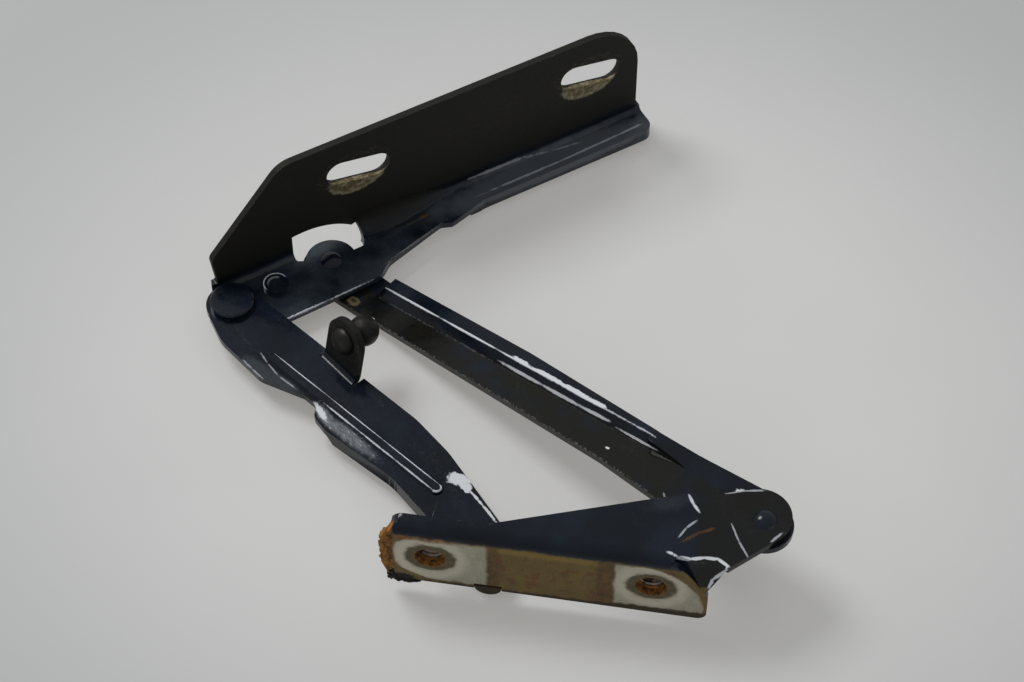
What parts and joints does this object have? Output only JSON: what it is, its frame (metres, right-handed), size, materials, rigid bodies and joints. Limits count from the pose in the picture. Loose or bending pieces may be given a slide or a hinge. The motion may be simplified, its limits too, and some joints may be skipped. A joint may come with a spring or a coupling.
{
  "type": "car bonnet hinge",
  "caption": "Four-bar bonnet hinge of pressed steel: a bolt-on base bracket, a flat arm and a cranked link on riveted pivots carry a slotted bonnet bracket.",
  "frame": {"origin": "midway between the two base bolts, on the mounting face of the base bracket", "axes": "+X along the base bolts, +Y back from the mounting face, +Z along the pivots"},
  "size_m": [0.254, 0.2597, 0.0683],
  "materials": {
    "painted_sheet": "worn gloss paint",
    "base_sheet": "worn paint, rust and bare metal",
    "painted_rivet": "worn gloss paint",
    "stud_steel": "dull, greasy",
    "rusty_steel": "rusted"
  },
  "bodies": {
    "base": {"base_bracket": "base_sheet", "weld_nuts": "rusty_steel", "rivet_base_arm": "painted_rivet", "rivet_base_link": "painted_rivet"},
    "arm": {"arm": "painted_sheet", "ball_stud": "stud_steel", "rivet_arm_bonnet": "painted_rivet"},
    "bonnet": {"bonnet_bracket": "painted_sheet", "rivet_link_bonnet": "painted_rivet"},
    "link": {"link": "painted_sheet"}
  },
  "joints": [
    {"name": "arm_swing", "type": "hinge", "parent": "base", "child": "arm", "pos_m": [-0.026, 0.019, 0], "axis": [0, 0, 1], "range_deg": [-36, 0]},
    {"name": "bonnet_tilt", "type": "hinge", "parent": "arm", "child": "bonnet", "pos_m": [-0.14792, 0.1195, 0], "axis": [0, 0, 1], "range_deg": [0, 61]},
    {"name": "link_swing", "type": "hinge", "parent": "base", "child": "link", "pos_m": [0.083, 0.0275, 0], "axis": [0, 0, 1], "range_deg": [-24, 0]}
  ],
  "couplings": [
    {"joint": "bonnet_tilt", "follows": "arm_swing", "ratio": -1.68},
    {"joint": "link_swing", "follows": "arm_swing", "ratio": 0.65}
  ]
}
